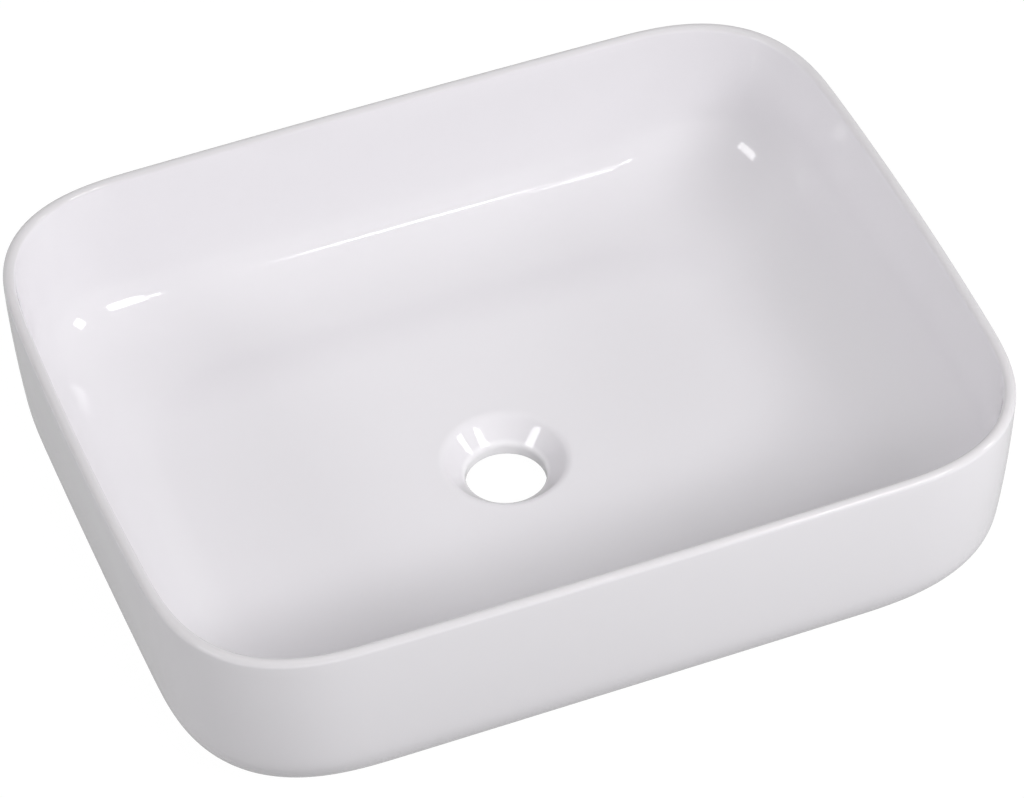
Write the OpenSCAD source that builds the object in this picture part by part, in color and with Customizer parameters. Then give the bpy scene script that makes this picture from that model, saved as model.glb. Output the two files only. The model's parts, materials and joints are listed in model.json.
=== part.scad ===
// Countertop basin: a rectangular bowl of glazed ceramic that stands on a worktop, with an empty waste hole.
// Millimetres, +Z up. The origin is on the worktop, under the middle of the waste hole.
// +X runs along the long sides and the front rim faces -Y.

/* [Bowl] */
// Length over the rim, between the middles of the two short ends
basin_l = 500; // [430:5:600]
// Depth over the rim, between the middles of the front and the back
basin_d = 400; // [340:5:460]
// Height of the ceramic, from the foot ring to the top of the rim
basin_h = 130; // [120:1:160]

/* [Plan shape] */
// How far each rounded corner reaches along the sides
corner_reach = 96; // [70:1:120]
// Squareness of the corners, where 2 is a plain quarter circle
corner_power = 2.75; // [2:0.05:3.5]
// How far the rim of a short end bows outward at its middle
end_bow = 7.5; // [0:0.5:12]
// How far the rim of a long side bows outward at its middle
side_bow = 2.8; // [0:0.2:6]

/* [Walls] */
// Width of the fully rounded rim
rim_t = 6.4; // [5:0.2:10]
// Thickness of the wall where the inner cove starts
wall_t = 9; // [7:0.5:12]
// How far the outer wall leans in between rim and foot, as a straight line
wall_lean = 6.2; // [0:0.2:12]
// How much further it leans in towards the foot, as a curve
wall_belly = 6.4; // [0:0.2:12]
// Radius of the heel, between the outer wall and the foot ring
heel_r = 44; // [25:1:55]
// Radius of the cove, between the inner wall and the floor
cove_r = 55; // [30:1:65]

/* [Floor] */
// Height of the floor above the foot ring's face, at the foot of the walls
floor_h = 28; // [25:0.5:34]
// Fall of the floor from the walls to the waste seat
floor_fall = 3.5; // [1:0.5:5]

/* [Waste seat] */
// Bore that takes the waste's thread
waste_d = 46; // [44:0.5:48]
// Straight length of that bore
waste_l = 5.5; // [4:0.5:8]
// Seat's diameter, where it runs out into the floor
seat_d = 78; // [70:1:84]
// Slope of the seat's cone below the horizontal
seat_slope = 46; // [28:1:50]
// Rounding between the floor and the cone
seat_brow_r = 8; // [4:0.5:12]
// Rounding between the cone and the bore
seat_edge_r = 5; // [1:0.5:8]

/* [Foot] */
// Width of the flat unglazed foot ring
foot_w = 14; // [12:1:20]
// Depth of the hollow under the floor, inside the foot ring
foot_h = 15; // [10:0.5:16]
// How far the foot ring's inner side slopes in over that depth
foot_slope_w = 5; // [2:0.5:10]
// Wall of the boss that carries the seat below the floor
boss_t = 12; // [8:1:16]
// How much wider the boss is at its root than at its face
boss_draft = 4; // [0:0.5:8]

/* [Pads] */
// Diameter of a stick-on foot pad
pad_d = 11; // [8:0.5:12]
// Thickness of a pad
pad_t = 1.5; // [1:0.1:3]
// Rounding of a pad's lower edge
pad_edge_r = 0.5; // [0.2:0.1:0.8]

/* [Hidden] */
PADS = [
    ["foot_pad_front_left", -1, -1],
    ["foot_pad_front_right", 1, -1],
    ["foot_pad_back_left", -1, 1],
    ["foot_pad_back_right", 1, 1]
];

// Steps along the loft's outline in plan: half a short end, a corner, half a long side
end_steps = 4;
corner_steps = 14;
side_steps = 5;
// Steps along the loft's section
heel_steps = 8;
wall_steps = 5;
rim_steps = 8;
cove_steps = 9;
floor_steps = 5;
// Facets of a full turn, and steps of the seat's two roundings
round_fn = 96;
seat_steps = 5;
// Overlap of solids that are joined or cut
overlap = 2;

rim_r = rim_t / 2;
rim_z = basin_h - rim_r;
cove_z = floor_h + cove_r;
seat_z = floor_h - floor_fall;
seat_r = seat_d / 2;
waste_r = waste_d / 2;
// Plan radius inside which the floor is level, so that the round seat is cut from a flat
level_r = seat_r + 2;

// The cone joins its two roundings, and how deep the seat goes follows from its slope
cone_run = seat_r - waste_r - seat_brow_r * sin(seat_slope) - seat_edge_r * (1 - sin(seat_slope));
seat_drop = cone_run * tan(seat_slope) + seat_brow_r * (1 - cos(seat_slope)) + seat_edge_r * cos(seat_slope);
waste_top = seat_z - seat_drop;
boss_z = waste_top - waste_l;

// How far the outer wall stands in from the rim at a height
function lean(z) = let (s = (rim_z - min(z, rim_z)) / rim_z) wall_lean * s + wall_belly * s * s;
// Thickness of the wall at a height
function wall(z) = rim_t + (wall_t - rim_t) * min(1, max(0, (rim_z - z) / (rim_z - cove_z)));

// A quarter of the plan outline, from the middle of a short end to the middle of a long side
function quarter(a, b, reach) = concat(
    [for (i = [0:end_steps - 1]) [a, (b - reach) * i / end_steps]],
    [for (i = [0:corner_steps]) let (turn = 90 * i / corner_steps)
        [a - reach + reach * pow(cos(turn), 2 / corner_power), b - reach + reach * pow(sin(turn), 2 / corner_power)]],
    [for (i = [1:side_steps]) [(a - reach) * (1 - i / side_steps), b]]
);
// The same quarter with its sides bowed by a share of the rim's bow
function bowed(points, a, b, share) = [for (p = points)
    [p[0] - end_bow * share * pow(p[1] / b, 2) * p[0] / a, p[1] - side_bow * share * pow(p[0] / a, 2) * p[1] / b]];
// One ring of the loft: an outline drawn in by inset, at height z
function ring(inset, z, reach) = let (
    a = basin_l / 2 - inset,
    b = basin_d / 2 - inset,
    q = bowed(quarter(a, b, reach), a, b, min(z, rim_z) / rim_z),
    last = len(q) - 1
) concat(
    [for (i = [0:last - 1]) [q[i][0], q[i][1], z]],
    [for (i = [last:-1:1]) [-q[i][0], q[i][1], z]],
    [for (i = [0:last - 1]) [-q[i][0], -q[i][1], z]],
    [for (i = [last:-1:1]) [q[i][0], -q[i][1], z]]
);

// Stations of the section as [inset, height, corner reach], from under the floor, round the rim, to the cove's foot
foot_inset = lean(0) + heel_r;
foot = [
    [foot_inset + foot_w + foot_slope_w, foot_h, corner_reach - foot_w - foot_slope_w],
    [foot_inset + foot_w, 0, corner_reach - foot_w]
];
heel = [for (i = [0:heel_steps - 1]) let (turn = 90 * i / heel_steps, z = heel_r * (1 - cos(turn)))
    [lean(z) + heel_r * (1 - sin(turn)), z, corner_reach]];
outer_wall = [for (i = [0:wall_steps - 1]) let (z = heel_r + (rim_z - heel_r) * i / wall_steps)
    [lean(z), z, corner_reach]];
rim = [for (i = [0:rim_steps - 1]) let (turn = 180 * i / rim_steps, inset = rim_r * (1 - cos(turn)))
    [inset, rim_z + rim_r * sin(turn), corner_reach - inset]];
inner_wall = [for (i = [0:wall_steps - 1]) let (z = rim_z - (rim_z - cove_z) * i / wall_steps)
    [lean(z) + wall(z), z, corner_reach - wall(z)]];
cove = [for (i = [cove_steps:-1:0]) let (turn = 90 * i / cove_steps, z = floor_h + cove_r * (1 - cos(turn)))
    [lean(z) + wall_t + cove_r * (1 - sin(turn)), z, corner_reach - wall_t]];
section = concat(foot, heel, outer_wall, rim, inner_wall, cove);

// The floor goes over from the cove's rounded rectangle to a circle round the seat
floor_edge = ring(cove[cove_steps][0], floor_h, corner_reach - wall_t);
floor_rings = [for (k = [1:floor_steps]) let (s = k / floor_steps)
    [for (p = floor_edge) let (plan = [p[0], p[1]], spot = plan * (1 - s) + plan / norm(plan) * level_r * s)
        [spot[0], spot[1], floor_h - floor_fall * s * s]]];

// A closed skin through rings of equal length, with a flat lid on the first and the last
module skin(rings) {
    n = len(rings[0]);
    last = len(rings) - 1;
    sides = [for (k = [0:last - 1], i = [0:n - 1]) let (j = (i + 1) % n, low = k * n, high = low + n)
        each [[low + i, high + i, high + j], [low + i, high + j, low + j]]];
    lids = [[for (i = [0:n - 1]) i], [for (i = [n - 1:-1:0]) last * n + i]];
    polyhedron(points = [for (r = rings) each r], faces = concat(sides, lids), convexity = 6);
}

// Boss under the floor, whose lower face takes the waste's backnut
module waste_boss() {
    face_r = waste_r + boss_t;
    translate([0, 0, boss_z])
        cylinder(h = foot_h + overlap - boss_z, r1 = face_r, r2 = face_r + boss_draft, $fn = round_fn);
}

// What the seat and the bore take away
module waste_cut() {
    brow = [for (i = [seat_steps:-1:0]) let (turn = seat_slope * i / seat_steps)
        [seat_r - seat_brow_r * sin(turn), seat_z - seat_brow_r * (1 - cos(turn))]];
    edge = [for (i = [seat_steps:-1:0]) let (turn = seat_slope + (90 - seat_slope) * i / seat_steps)
        [waste_r + seat_edge_r * (1 - sin(turn)), waste_top + seat_edge_r * cos(turn)]];
    rotate_extrude($fn = round_fn)
        polygon(concat([[0, boss_z - overlap], [waste_r, boss_z - overlap]], edge, brow,
            [[seat_r, seat_z + overlap], [0, seat_z + overlap]]));
}

// The bowl, its rim, its foot ring and its waste seat are one fired piece
module basin_body() {
    color("whitesmoke") translate([0, 0, pad_t]) difference() {
        union() {
            skin(concat([for (s = section) ring(s[0], s[1], s[2])], floor_rings));
            waste_boss();
        }
        waste_cut();
    }
}

// A round pad on the foot ring's face, at the middle of a corner
module foot_pad(side_x, side_y) {
    reach = corner_reach - foot_w / 2;
    inset = foot_inset + foot_w / 2;
    corner = reach * (1 - pow(cos(45), 2 / corner_power));
    rim = [for (i = [0:seat_steps]) let (turn = 90 * i / seat_steps)
        [pad_d / 2 - pad_edge_r * (1 - sin(turn)), pad_edge_r * (1 - cos(turn))]];
    color("gainsboro")
        translate([side_x * (basin_l / 2 - inset - corner), side_y * (basin_d / 2 - inset - corner), 0])
            rotate_extrude($fn = round_fn)
                polygon(concat([[0, 0]], rim, [[pad_d / 2, pad_t], [0, pad_t]]));
}

basin_body();
for (pad = PADS)
    foot_pad(pad[1], pad[2]);
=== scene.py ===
import json
import math

import bmesh
import bpy
from mathutils import Matrix, Vector

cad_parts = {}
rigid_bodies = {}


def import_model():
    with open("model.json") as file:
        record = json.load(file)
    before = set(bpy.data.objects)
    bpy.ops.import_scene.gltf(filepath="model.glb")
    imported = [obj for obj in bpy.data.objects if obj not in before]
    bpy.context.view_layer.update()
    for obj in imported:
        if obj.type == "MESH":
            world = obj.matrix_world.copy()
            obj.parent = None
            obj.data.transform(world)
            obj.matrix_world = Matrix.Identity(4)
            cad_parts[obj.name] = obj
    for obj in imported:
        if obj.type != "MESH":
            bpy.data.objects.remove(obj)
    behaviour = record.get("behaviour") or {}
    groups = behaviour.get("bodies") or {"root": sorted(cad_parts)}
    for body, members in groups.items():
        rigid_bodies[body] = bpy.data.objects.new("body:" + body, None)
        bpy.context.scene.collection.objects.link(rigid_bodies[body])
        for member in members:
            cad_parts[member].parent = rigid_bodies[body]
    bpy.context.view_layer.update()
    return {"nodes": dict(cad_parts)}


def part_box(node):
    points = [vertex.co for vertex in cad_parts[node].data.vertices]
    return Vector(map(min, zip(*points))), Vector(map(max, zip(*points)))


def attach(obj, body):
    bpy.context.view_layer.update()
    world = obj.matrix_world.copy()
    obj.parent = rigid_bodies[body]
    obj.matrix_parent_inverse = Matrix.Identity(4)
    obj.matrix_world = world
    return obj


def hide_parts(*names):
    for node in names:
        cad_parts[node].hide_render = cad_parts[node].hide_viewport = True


# Countertop basin in white glazed ceramic. Metres, +Z up, front rim towards -Y.

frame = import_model()
mm = 0.001
print("Frame loaded:", len(frame["nodes"]), "nodes")


# Camera, at the photograph's viewing angle

cameraSetup = {
    "aim": Vector((0, 0, 66.5)) * mm,   # middle of the ceramic
    "distance": 2895.4 * mm,
    "turn": math.radians(20.7),         # how far it looks to the right of +Y
    "tilt": math.radians(45.04),        # how far it looks down
    "roll": math.radians(1.4),
    "lens": 182.17,                     # millimetres, as the sensor's width is
    "sensor": 36,
    "sight": 50,                        # nothing farther off is drawn
    "shift": (0.00743, 0.00783),
}


def placeCamera(setup):
    turn, tilt, roll = setup["turn"], setup["tilt"], setup["roll"]
    ahead = Vector((math.sin(turn) * math.cos(tilt), math.cos(turn) * math.cos(tilt), -math.sin(tilt)))
    level = Vector((math.cos(turn), -math.sin(turn), 0))
    down = ahead.cross(level)
    right = level * math.cos(roll) + down * math.sin(roll)
    up = level * math.sin(roll) - down * math.cos(roll)
    bpy.ops.object.camera_add()
    camera = bpy.context.object
    camera.name = "photoCamera"
    spot = setup["aim"] - ahead * setup["distance"]
    camera.matrix_world = Matrix.Translation(spot) @ Matrix((right, up, -ahead)).transposed().to_4x4()
    camera.data.lens = setup["lens"]
    camera.data.sensor_width = setup["sensor"]
    camera.data.shift_x, camera.data.shift_y = setup["shift"]
    camera.data.clip_end = setup["sight"]
    bpy.context.scene.camera = camera


placeCamera(cameraSetup)
bpy.context.scene.view_settings.view_transform = "Standard"
print("Camera placed")


# Shader maths

class Value:
    # A socket that can be written into an expression
    def __init__(self, board, socket):
        self.board, self.socket = board, socket

    def __add__(self, other): return self.board.maths("ADD", self, other)
    def __radd__(self, other): return self.board.maths("ADD", other, self)
    def __sub__(self, other): return self.board.maths("SUBTRACT", self, other)
    def __rsub__(self, other): return self.board.maths("SUBTRACT", other, self)
    def __mul__(self, other): return self.board.maths("MULTIPLY", self, other)
    def __rmul__(self, other): return self.board.maths("MULTIPLY", other, self)
    def __truediv__(self, other): return self.board.maths("DIVIDE", self, other)
    def __pow__(self, other): return self.board.maths("POWER", self, other)
    def __abs__(self): return self.board.maths("ABSOLUTE", self, 0)


class Board:
    # The node tree of one material, or of the world
    def __init__(self, tree):
        self.tree = tree
        tree.nodes.clear()

    def node(self, kind, settings=None, inputs=None, output=0):
        # One node of that type: its settings first, then the values or links of its sockets
        made = self.tree.nodes.new("ShaderNode" + kind)
        for name, setting in (settings or {}).items():
            setattr(made, name, setting)
        for name, given in (inputs or {}).items():
            if isinstance(given, Value):
                self.tree.links.new(given.socket, made.inputs[name])
            else:
                made.inputs[name].default_value = given
        return Value(self, made.outputs[output])

    def output(self, kind, surface):
        end = self.tree.nodes.new("ShaderNodeOutput" + kind)
        self.tree.links.new(surface.socket, end.inputs["Surface"])

    def maths(self, operation, first, second):
        return self.node("Math", {"operation": operation}, {0: first, 1: second})

    def between(self, value, low, high):
        # 0 below low, 1 above high and a smooth step from one to the other
        return self.node("MapRange", {"interpolation_type": "SMOOTHSTEP"},
                         {"Value": value, "From Min": low, "From Max": high})

    def blend(self, factor, first, second):
        # Sockets 6 and 7 of a Mix node are its colours, and output 2 is their mix
        return self.node("Mix", {"data_type": "RGBA"}, {0: factor, 6: first, 7: second}, output=2)

    def noise(self, place, scale, detail=2.0, roughness=0.5):
        return self.node("TexNoise", None, {
            "Vector": place, "Scale": scale, "Detail": detail, "Roughness": roughness})


def colour(red, green, blue):
    return (red, green, blue, 1)


white = colour(1, 1, 1)


def newMaterial(name):
    material = bpy.data.materials.new(name)
    material.use_nodes = True
    return material, Board(material.node_tree)


# Floor and lights

stageSetup = {
    "floorSize": 14.0,
    "floorColour": colour(0.4, 0.4, 0.4),
    "shadow": 0.08,                     # share of the floor's own shading that the camera sees
    "whiteness": 1.07,                  # makes the unshaded floor come out just white
    "mirrored": 0.35,                   # share of that white in what the glaze mirrors of the floor
    "ambient": 0.27,                    # strength of the world's light on the basin
}


def seenDirectly(board, mirrored):
    # 1 for rays from the camera or through glass, and the mirrored share for rays off gloss
    def ray(output): return board.node("LightPath", output=output)
    return board.maths("MAXIMUM", ray("Is Glossy Ray") * mirrored,
                       board.maths("MAXIMUM", ray("Is Camera Ray"), ray("Is Transmission Ray")))


def makeFloor(setup):
    bpy.ops.mesh.primitive_plane_add(size=setup["floorSize"])
    floor = bpy.context.object
    floor.name = "studioFloor"
    material, board = newMaterial("paleFloor")
    matt = board.node("BsdfDiffuse", None, {"Color": setup["floorColour"]})
    glow = board.node("Emission", None, {"Color": white, "Strength": setup["whiteness"]})
    share = seenDirectly(board, setup["mirrored"]) * (1 - setup["shadow"])
    board.output("Material", board.node("MixShader", None, {0: share, 1: matt, 2: glow}))
    floor.data.materials.append(material)


def makeWorld(setup):
    world = bpy.data.worlds.new("studioWorld")
    world.use_nodes = True
    bpy.context.scene.world = world
    board = Board(world.node_tree)
    strength = seenDirectly(board, 1) * (1 - setup["ambient"]) + setup["ambient"]
    glow = board.node("Background", None, {"Color": white, "Strength": strength})
    board.output("World", glow)


makeFloor(stageSetup)
makeWorld(stageSetup)

softboxes = {
    # Each with degrees to the right of the front, degrees up, metres away, width and height in metres,
    # watts, and whether the glaze mirrors it. The far ones make the highlights, and the near ones only
    # the soft fall of tone across the bowl.
    "frontKey": (30.6, 33.4, 10, 3.0, 1.15, 185, True),
    "frontStrip": (17.05, 33.1, 10, 0.44, 0.22, 6.6, True),
    "rightBox": (68, 26, 10, 1.3, 1.6, 75, True),
    "leftBox": (-81, 32, 10, 3.0, 1.5, 110, True),
    "frontFlood": (28, 38, 2, 1.0, 0.6, 13.1, False),
    "frontFill": (-5, 42, 2, 0.9, 0.6, 8.8, False),
    "lowFill": (57, 3.5, 2, 0.8, 0.2, 4.0, False),
    "leftFill": (-100, 9, 2, 0.7, 0.25, 7.5, False),
    "rightFill": (100, 28, 2, 0.8, 0.6, 3.0, False),
    "backFill": (-165, 52, 2, 0.8, 0.6, 6.0, False),
}


def hangSoftbox(name, turn, rise, distance, width, height, power, mirrored):
    turn, rise = math.radians(turn), math.radians(rise)
    towards = Vector((math.sin(turn) * math.cos(rise), -math.cos(turn) * math.cos(rise), math.sin(rise)))
    bpy.ops.object.light_add(type="AREA", location=cameraSetup["aim"] + towards * distance)
    lamp = bpy.context.object
    lamp.name = name
    lamp.data.shape = "RECTANGLE"
    lamp.data.size, lamp.data.size_y = width, height
    lamp.data.energy = power
    lamp.rotation_euler = (-towards).to_track_quat("-Z", "Y").to_euler()
    lamp.visible_camera = False
    lamp.visible_glossy = mirrored


for name, setup in softboxes.items():
    hangSoftbox(name, *setup)
print("Floor, world and", len(softboxes), "softboxes placed")


# Basin body: rings in plan, each a plane with rounded corners, bridged into one closed skin

low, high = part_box("basin_body")
basin = {
    "length": high.x - low.x,
    "depth": high.y - low.y,
    "height": high.z - low.z,
    "foot": low.z,                      # the ceramic stands on pads
    "cornerReach": 96 * mm,             # how far a corner's rounding runs along each side
    "cornerPower": 2.75,                # 2 would be a plain quarter circle
    "endBow": 7.5 * mm,                 # how far the ends and the sides swell out at the rim. At the
    "sideBow": 2.8 * mm,                # foot they are straight.
    "rimRadius": 3.2 * mm,
    "wall": 9 * mm,                     # at the cove
    "lean": 6.2 * mm,                   # the outer wall comes in by this much down to the foot,
    "belly": 6.4 * mm,                  # and by this much more along a parabola
    "heelRadius": 44 * mm,
    "coveRadius": 55 * mm,
    "floorHeight": 28 * mm,
    "floorFall": 3.5 * mm,              # from the cove to the seat
    "floorEnd": 4 * mm,                 # from the floor's last ring to the seat
    "boreRadius": 23 * mm,
    "boreLength": 5.5 * mm,
    "seatRadius": 39 * mm,
    "seatSlope": math.radians(46),
    "seatBrow": 8 * mm,                 # radius of the rounding above the cone
    "seatEdge": 5 * mm,                 # and of the one below it
    "footWidth": 14 * mm,
    "footDepth": 15 * mm,               # of the hollow inside the foot ring
    "footSlope": 5 * mm,                # how far the ring's inner side leans
    "bossWall": 12 * mm,                # the boss round the bore, under the floor
    "bossDraft": 4 * mm,
    "roofStart": 1 * mm,                # how far inside the hollow's edge the roof's rings start,
    "roofEnd": 3 * mm,                  # and how far outside the boss they end
    "smallEdge": 0.8 * mm,              # on the foot ring, the bore and the boss
    # How finely it is drawn
    "cornerSteps": 12,
    "endCuts": 5,
    "sideCuts": 7,
    "heelRings": 9,
    "outerRings": 6,
    "rimRings": 10,
    "innerRings": 5,
    "coveRings": 11,
    "floorRings": 5,
    "seatRings": 4,                     # on the brow, and again on the edge
    "roofRings": 4,
    "smoothLevels": 2,
}
rimHeight = basin["height"] - basin["rimRadius"]
coveTop = basin["floorHeight"] + basin["coveRadius"]


def leanAt(height):
    # How far the outer wall has come in at a height above the foot ring's face
    share = (rimHeight - min(height, rimHeight)) / rimHeight
    return basin["lean"] * share + basin["belly"] * share ** 2


def wallAt(height):
    # How thick the wall is there
    rim = 2 * basin["rimRadius"]
    return rim + (basin["wall"] - rim) * min(1, max(0, (rimHeight - height) / (rimHeight - coveTop)))


def steps(first, last, count):
    # count values evenly from first up to, but not including, last
    return [first + (last - first) * k / count for k in range(count)]


def bowlStations():
    # Rounded rectangles as (inset, height, corner reach), from under the floor round the rim and back in
    b = basin
    reach = b["cornerReach"]
    heel, cove, rim = b["heelRadius"], b["coveRadius"], b["rimRadius"]
    footIn = leanAt(0) + heel
    edge = b["smallEdge"]
    roofIn = footIn + b["footWidth"] + b["footSlope"]
    roofReach = reach - roofIn + footIn
    ringReach = reach - b["footWidth"]
    rows = [
        # The rounding between the hollow's roof and its side
        (roofIn + 2.2 * mm, b["footDepth"], roofReach - 2 * mm),
        (roofIn - 0.1 * mm, b["footDepth"] - 0.7 * mm, roofReach),
        (roofIn - 1.6 * mm, b["footDepth"] - 3 * mm, roofReach),
        # The foot ring's inner edge and its face
        (roofIn - b["footSlope"] + edge, 1.3 * edge, ringReach),
        (roofIn - b["footSlope"] + 0.2 * edge, 0.3 * edge, ringReach),
        (roofIn - b["footSlope"] - edge, 0, ringReach),
        (footIn + 2 * edge, 0, reach - 2 * edge),
    ]
    for turn in steps(0, math.pi / 2, b["heelRings"]):
        height = heel * (1 - math.cos(turn))
        rows.append((leanAt(height) + heel * (1 - math.sin(turn)), height, reach))
    for height in steps(heel, rimHeight, b["outerRings"]):
        rows.append((leanAt(height), height, reach))
    for turn in steps(0, math.pi, b["rimRings"]):
        inset = rim * (1 - math.cos(turn))
        rows.append((inset, rimHeight + rim * math.sin(turn), reach - inset))
    for height in steps(rimHeight, coveTop, b["innerRings"]):
        rows.append((leanAt(height) + wallAt(height), height, reach - wallAt(height)))
    for turn in steps(math.pi / 2, 0, b["coveRings"]):
        height = b["floorHeight"] + cove * (1 - math.cos(turn))
        rows.append((leanAt(height) + b["wall"] + cove * (1 - math.sin(turn)), height, reach - b["wall"]))
    return rows


def floorStations(inset, reach, height, radius, fall, count):
    # Rings that go over from a rounded rectangle to a circle, as (inset, height, corner reach, share of
    # the circle, radius of the circle)
    return [(inset, height - fall * share ** 2, reach, share, radius)
            for share in [k / count for k in range(count + 1)]]


def seatStations():
    # Circles as (radius, height), from the floor down through the waste seat and the bore to the boss
    b = basin
    seatHeight = b["floorHeight"] - b["floorFall"]
    brow, edge, slope = b["seatBrow"], b["seatEdge"], b["seatSlope"]
    run = b["seatRadius"] - b["boreRadius"] - brow * math.sin(slope) - edge * (1 - math.sin(slope))
    drop = run * math.tan(slope) + brow * (1 - math.cos(slope)) + edge * math.cos(slope)
    boreTop = seatHeight - drop
    bossFace = boreTop - b["boreLength"]
    small = b["smallEdge"]
    bossEdge = b["boreRadius"] + b["bossWall"]
    bossRoot = bossEdge + b["bossDraft"]
    rows = [(b["seatRadius"] - brow * math.sin(turn), seatHeight - brow * (1 - math.cos(turn)))
            for turn in steps(0, slope, b["seatRings"])]
    browEnd = (b["seatRadius"] - brow * math.sin(slope), seatHeight - brow * (1 - math.cos(slope)))
    edgeStart = (b["boreRadius"] + edge * (1 - math.sin(slope)), boreTop + edge * math.cos(slope))
    rows += [browEnd, ((browEnd[0] + edgeStart[0]) / 2, (browEnd[1] + edgeStart[1]) / 2)]
    rows += [(b["boreRadius"] + edge * (1 - math.sin(turn)), boreTop + edge * math.cos(turn))
             for turn in steps(slope, math.pi / 2, b["seatRings"])]
    rows += [
        # The bore's wall and its lower edge
        (b["boreRadius"], boreTop),
        (b["boreRadius"], (boreTop + bossFace) / 2),
        (b["boreRadius"], bossFace + 1.4 * small),
        (b["boreRadius"] + 0.25 * small, bossFace + 0.25 * small),
        # The boss's face and its outer edge
        (b["boreRadius"] + 1.4 * small, bossFace),
        (bossEdge - 1.4 * small, bossFace),
        (bossEdge - 0.2 * small, bossFace + 0.3 * small),
        (bossEdge + 0.3 * small, bossFace + 1.4 * small),
        # The rounding between the boss and the hollow's roof
        (bossRoot - 0.9 * mm, b["footDepth"] - 2 * mm),
        (bossRoot + 0.2 * mm, b["footDepth"] - 0.5 * mm),
        (bossRoot + 2.4 * mm, b["footDepth"]),
    ]
    return rows


def pickVertices(test):
    # Selects, in edit mode, the vertices whose place passes the test, and nothing else
    bpy.ops.mesh.select_all(action="DESELECT")
    mesh = bpy.context.edit_object.data
    shape = bmesh.from_edit_mesh(mesh)
    for vertex in shape.verts:
        vertex.select = test(vertex.co)
    shape.select_flush_mode()
    bmesh.update_edit_mesh(mesh)


def pickEdges(test):
    # The same for edges
    bpy.ops.mesh.select_all(action="DESELECT")
    mesh = bpy.context.edit_object.data
    shape = bmesh.from_edit_mesh(mesh)
    for edge in shape.edges:
        if test(edge):
            edge.select_set(True)
    bmesh.update_edit_mesh(mesh)


def drawRing(level, inset, height, reach, roundness=0, radius=0):
    # One ring of the loft with its shape for that height, laid out at a level of its own
    b = basin
    straightSide = 30 * mm              # no edge of a rounded corner is as long
    onAxis = 0.01 * mm                  # a vertex at the middle of a side is this near to the axis
    share = min(height, rimHeight) / rimHeight
    halfX, halfY = b["length"] / 2 - inset, b["depth"] / 2 - inset
    bowX, bowY = b["endBow"] * share, b["sideBow"] * share
    middle = (0, 0, level)
    bpy.ops.mesh.primitive_plane_add(size=2, location=middle)
    ring = bpy.context.object
    bpy.ops.object.mode_set(mode="EDIT")
    bpy.ops.transform.resize(value=(halfX - bowX, halfY - bowY, 1), center_override=middle)
    bpy.ops.mesh.bevel(offset=reach * (halfX - bowX) / halfX, segments=b["cornerSteps"],
                       profile=2 ** (-2 / b["cornerPower"]), affect="VERTICES")
    bpy.ops.mesh.delete(type="ONLY_FACE")
    # The four straight sides are cut, and bowed by a pull at their middles that fades like a parabola
    for along, cuts in ((1, b["endCuts"]), (0, b["sideCuts"])):
        pickEdges(lambda edge: abs(edge.verts[0].co[along] - edge.verts[1].co[along]) > straightSide)
        bpy.ops.mesh.subdivide(number_cuts=cuts)
    pulls = (
        (1, (halfX / (halfX - bowX), 1, 1), halfY),
        (0, (1, halfY / (halfY - bowY), 1), halfX),
    )
    for along, stretch, fade in pulls:
        pickVertices(lambda place: abs(place[along]) < onAxis)
        bpy.ops.transform.resize(value=stretch, center_override=middle, use_proportional_edit=True,
                                 proportional_edit_falloff="INVERSE_SQUARE", proportional_size=fade)
    if roundness:
        bpy.ops.mesh.select_all(action="SELECT")
        bpy.ops.transform.tosphere(value=roundness, center_override=middle)
        points = bmesh.from_edit_mesh(ring.data).verts
        average = sum(point.co.to_2d().length for point in points) / len(points)
        scale = 1 - roundness + roundness * radius / average
        bpy.ops.transform.resize(value=(scale, scale, 1), center_override=middle)
    bpy.ops.object.mode_set(mode="OBJECT")
    return ring


def loft(rows):
    # Draws the rings as a tall stack, bridges each to the next and the last to the first, then slides
    # each ring to its height
    spacing = 20 * mm

    def pickRing(k):
        bpy.ops.object.vertex_group_set_active(group="ring%02d" % (k % len(rows)))
        bpy.ops.object.vertex_group_select()

    bpy.ops.object.select_all(action="DESELECT")
    rings = [drawRing(spacing * k, *row) for k, row in enumerate(rows)]
    for k, ring in enumerate(rings):
        ring.vertex_groups.new(name="ring%02d" % k).add(range(len(ring.data.vertices)), 1, "REPLACE")
        ring.select_set(True)
    bpy.context.view_layer.objects.active = rings[0]
    bpy.ops.object.join()
    skin = bpy.context.object
    bpy.ops.object.mode_set(mode="EDIT")
    for k in range(len(rows)):
        bpy.ops.mesh.select_all(action="DESELECT")
        pickRing(k)
        pickRing(k + 1)
        bpy.ops.mesh.bridge_edge_loops()
    for k, row in enumerate(rows):
        bpy.ops.mesh.select_all(action="DESELECT")
        pickRing(k)
        bpy.ops.transform.translate(value=(0, 0, row[1] - spacing * k))
    bpy.ops.mesh.select_all(action="SELECT")
    bpy.ops.mesh.normals_make_consistent(inside=False)
    bpy.ops.object.mode_set(mode="OBJECT")
    bpy.ops.object.vertex_group_remove(all=True)
    return skin


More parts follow.
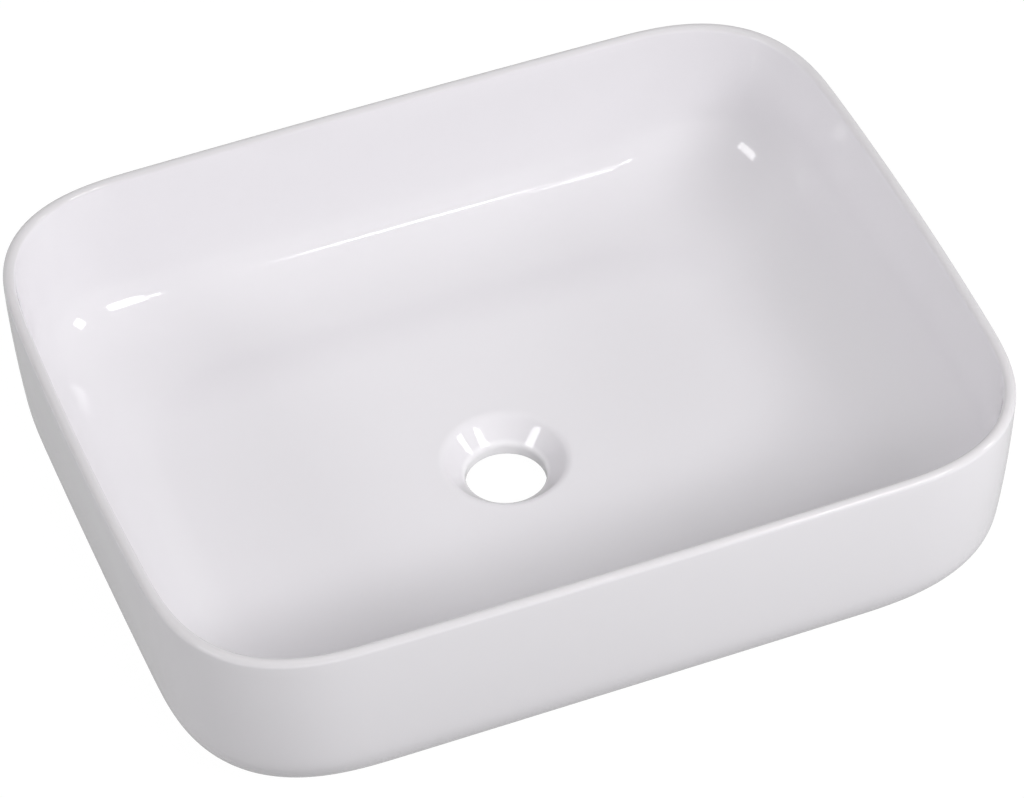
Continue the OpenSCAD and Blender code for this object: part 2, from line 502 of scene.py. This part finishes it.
def makeBasin():
    b = basin
    bowl = bowlStations()
    seat = seatStations()
    floorInset = leanAt(b["floorHeight"]) + b["wall"] + b["coveRadius"]
    floorReach = b["cornerReach"] - b["wall"]
    rows = bowl + floorStations(floorInset, floorReach, b["floorHeight"],
                                b["seatRadius"] + b["floorEnd"], b["floorFall"], b["floorRings"])
    rows += [(floorInset, height, floorReach, 1, radius) for radius, height in seat]
    # The roof goes on outward from the boss, so its rings are taken backwards, without the first
    roofInset, roofHeight, roofReach = bowl[0]
    roof = floorStations(roofInset + b["roofStart"], roofReach, roofHeight,
                         seat[-1][0] + b["roofEnd"], 0, b["roofRings"])
    rows += roof[:0:-1]
    body = loft(rows)
    print("Rings bridged:", len(rows))
    body.name = "glazedBasin"
    smooth = body.modifiers.new("smoothSkin", "SUBSURF")
    smooth.levels = smooth.render_levels = b["smoothLevels"]
    bpy.ops.object.modifier_apply(modifier=smooth.name)
    bpy.ops.object.shade_smooth()
    # The rings were drawn from the foot ring's face, which the pads hold off the worktop
    bpy.ops.object.mode_set(mode="EDIT")
    bpy.ops.mesh.select_all(action="SELECT")
    bpy.ops.transform.translate(value=(0, 0, b["foot"]))
    bpy.ops.object.mode_set(mode="OBJECT")
    bpy.ops.object.origin_set(type="ORIGIN_CURSOR")
    return body


body = makeBasin()
print("Basin body:", len(body.data.polygons), "faces")


# Materials

glaze = {
    # Scales are in patches to the metre
    "cool": colour(0.749, 0.732, 0.76),
    "bright": colour(0.766, 0.75, 0.778),
    "driftScale": 7.0,
    "thinGlazeAndShade": colour(0.66, 0.643, 0.662),     # over the rim, where the glaze runs thin, and painted shade that takes down the light the rim's rounding catches
    "thinStart": 0.4 * mm,                  # above where the rim starts to round
    "thinEnd": 0.6 * mm,                    # below its top
    "boreLight": colour(0.868, 0.857, 0.878),  # painted light round the bore, which whitens the wall that the lamps leave in shade
    "boreLightStart": 0.4 * mm,                # outside the bore's wall
    "boreLightEnd": 3 * mm,
    "ior": 1.5,
    "gloss": 0.05,                          # roughness of the glaze
    "glossDrift": 0.03,
    "glossScale": 18.0,
    "peelDepth": 0.012 * mm,
    "peelScale": 70.0,
    "clayLight": colour(0.70, 0.655, 0.59),
    "clayDark": colour(0.60, 0.545, 0.475),
    "clayIor": 1.45,
    "clayRough": 0.85,
    "clayRoughDrift": 0.08,
    "clayDepth": 0.12 * mm,
    "grainScale": 900.0,
    "grainShare": 0.6,                      # of the clay's change of tone, and the rest is the drift's
    "poreScale": 2600.0,
    "poreStart": 0.62,                      # where in its noise a pore starts
    "poreEnd": 0.72,
    "poreDepth": 0.5,                       # share of the grain's depth
    "bareHeight": 0.35 * mm,                # the glaze is wiped off the foot ring up to here
    "bareFade": 0.12 * mm,
    "bareCorner": 5.2,                      # in plan, where 2 would make the bare part an ellipse
    "bossBareHeight": 6 * mm,               # the boss's face is bare up to here, and the bore isn't
    "strayDistance": 0.4 * mm,              # how far the edge of the glaze strays
    "strayAcross": 40,                      # and how fast the plan's measure rises there, to the metre
    "strayScale": 240.0,
}


def makeGlaze(setup):
    material, board = newMaterial("whiteGlaze")
    place = board.node("TexCoord", output="Object")
    x, y, z = (board.node("SeparateXYZ", None, {"Vector": place}, output=axis) for axis in range(3))
    above = z - basin["foot"]
    offAxis = (x * x + y * y) ** 0.5
    bore, roof = basin["boreRadius"], basin["footDepth"]
    bossSide = bore + basin["bossWall"]

    # Bare clay on the foot ring's face, and from the middle of that face inward over the hollow, with a
    # slightly uneven edge: in plan it reaches to where the measure is 1. What lies above the hollow's
    # roof is the bowl.
    stray = (board.noise(place, setup["strayScale"], 3.0) - 0.5) * setup["strayDistance"]
    wiped = setup["bareHeight"]
    ringFace = 1 - board.between(above + stray, wiped, wiped + setup["bareFade"])
    ringMiddle = leanAt(0) + basin["heelRadius"] + basin["footWidth"] / 2
    halfX, halfY = basin["length"] / 2 - ringMiddle, basin["depth"] / 2 - ringMiddle
    across = (abs(x) / halfX) ** setup["bareCorner"] + (abs(y) / halfY) ** setup["bareCorner"]
    hollow = 1 - board.between(across + stray * setup["strayAcross"], 0.97, 1.0)
    overRoof = board.between(above + stray, roof + 0.5 * mm, roof + 0.7 * mm)
    hollow = hollow * (1 - overRoof)
    # The seat and the bore are glazed, so the clay starts at the boss's face and its outer side
    faceTop = setup["bossBareHeight"]
    onFace = board.between(offAxis + stray, bore + 1.0 * mm, bore + 1.3 * mm)
    onFace = onFace * (1 - board.between(above, faceTop, faceTop + 1 * mm))
    beyond = board.between(offAxis, bossSide - 1.5 * mm, bossSide - 1 * mm)
    hollow = hollow * board.maths("MAXIMUM", onFace, beyond)
    bare = board.maths("MAXIMUM", ringFace, hollow)

    # The glaze drifts a little in tone, is darker over the rim, partly thin glaze and partly painted
    # shade, and has painted light round the bore, which makes it whiter there
    drift = board.noise(place, setup["driftScale"])
    tint = board.blend(drift, setup["cool"], setup["bright"])
    # Painted shade: the rim's top is darkened against the light its rounding catches, on top of the
    # thinner glaze there
    overRim = board.between(above, rimHeight + setup["thinStart"], basin["height"] - setup["thinEnd"])
    tint = board.blend(overRim, tint, setup["thinGlazeAndShade"])
    # Painted light: the bore and the glaze just round it are whitened where the lamps leave the wall in
    # shade
    boreLightMask = 1 - board.between(offAxis, bore + setup["boreLightStart"], bore + setup["boreLightEnd"])
    tint = board.blend(boreLightMask, tint, setup["boreLight"])
    polish = setup["gloss"] + setup["glossDrift"] * board.noise(place, setup["glossScale"], 3.0)
    peel = board.noise(place, setup["peelScale"], 2.0, 0.4)
    skin = board.node("Bump", None, {"Strength": 1.0, "Distance": setup["peelDepth"], "Height": peel})
    glossy = board.node("BsdfPrincipled", None, {
        "Base Color": tint, "Roughness": polish, "IOR": setup["ior"], "Normal": skin})

    # The clay is grainy and dotted with pores
    grain = board.noise(place, setup["grainScale"], 4.0, 0.65)
    shade = grain * setup["grainShare"] + (1 - setup["grainShare"]) * drift
    clay = board.blend(shade, setup["clayLight"], setup["clayDark"])
    pores = board.between(board.noise(place, setup["poreScale"]), setup["poreStart"], setup["poreEnd"])
    tooth = board.node("Bump", None, {
        "Strength": 1.0, "Distance": setup["clayDepth"], "Height": grain - setup["poreDepth"] * pores})
    dryness = setup["clayRough"] + setup["clayRoughDrift"] * grain
    matt = board.node("BsdfPrincipled", None, {
        "Base Color": clay, "Roughness": dryness, "IOR": setup["clayIor"], "Normal": tooth})
    board.output("Material", board.node("MixShader", None, {0: bare, 1: glossy, 2: matt}))
    return material


padFinish = {
    "clear": colour(0.70, 0.72, 0.72),
    "cloudy": colour(0.80, 0.81, 0.81),
    "dusty": colour(0.55, 0.54, 0.52),      # specks of grit that stick to it
    "dust": 0.6,                            # how much of a speck is grit
    "ior": 1.43,
    "rough": 0.32,
    "roughDrift": 0.2,
    "skinDepth": 0.03 * mm,
    "hazeScale": 420.0,
    "speckScale": 3200.0,
    "speckStart": 0.66,                     # where in its noise a speck starts
    "speckEnd": 0.74,
}


def makePad(setup):
    material, board = newMaterial("clearRubber")
    place = board.node("TexCoord", output="Object")
    haze = board.noise(place, setup["hazeScale"], 3.0, 0.6)
    specks = board.between(board.noise(place, setup["speckScale"]), setup["speckStart"], setup["speckEnd"])
    tint = board.blend(haze, setup["clear"], setup["cloudy"])
    tint = board.blend(specks * setup["dust"], tint, setup["dusty"])
    skin = board.node("Bump", None, {
        "Strength": 0.6, "Distance": setup["skinDepth"], "Height": haze + specks})
    rough = setup["rough"] + setup["roughDrift"] * haze
    rubber = board.node("BsdfPrincipled", None, {
        "Base Color": tint, "Roughness": rough, "IOR": setup["ior"], "Normal": skin})
    board.output("Material", rubber)
    return material


body.data.materials.clear()
body.data.materials.append(makeGlaze(glaze))
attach(body, "root")
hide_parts("basin_body")

rubber = makePad(padFinish)
for corner in ("front_left", "front_right", "back_left", "back_right"):
    pad = bpy.data.objects["foot_pad_" + corner]
    pad.material_slots[0].material = rubber
print("Materials assigned")
